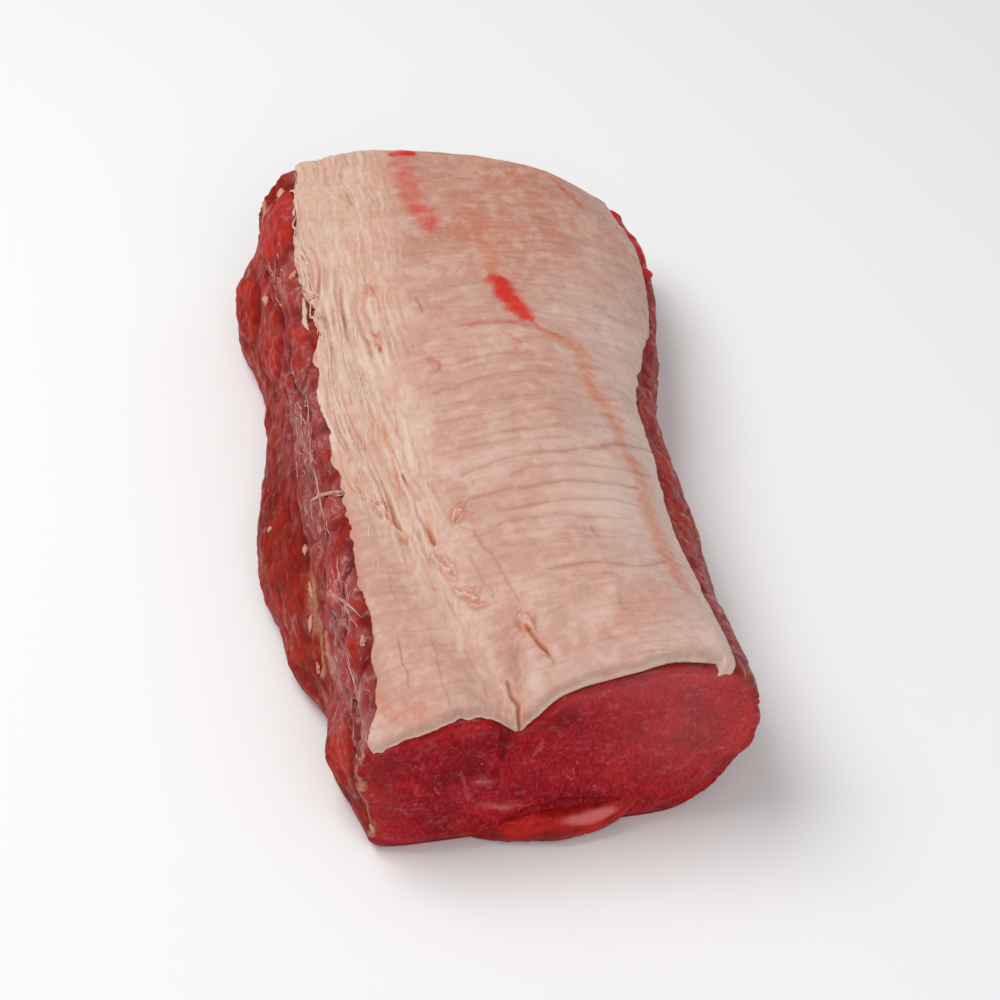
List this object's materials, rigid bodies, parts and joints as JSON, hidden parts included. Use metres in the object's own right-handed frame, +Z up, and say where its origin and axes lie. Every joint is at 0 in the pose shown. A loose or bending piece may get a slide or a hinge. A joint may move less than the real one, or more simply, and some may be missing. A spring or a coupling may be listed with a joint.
{
  "type": "whole beef strip loin",
  "caption": "Whole boneless beef strip loin lying fat side up: dark red lean under a cream cap of back fat, cut square across its ends.",
  "frame": {"origin": "on the flat base, under the middle of the bounding box", "axes": "+Z up out of the fat cap, +Y along the loin from the near cut face to the far one, +X towards the flank side"},
  "size_m": [0.2208, 0.4136, 0.0957],
  "materials": {
    "lean": "moist dark red raw lean with silverskin",
    "fat": "soft satin cream and pink beef fat"
  },
  "bodies": {
    "root": {"lean_loin": "lean", "fat_cap": "fat"}
  },
  "joints": []
}
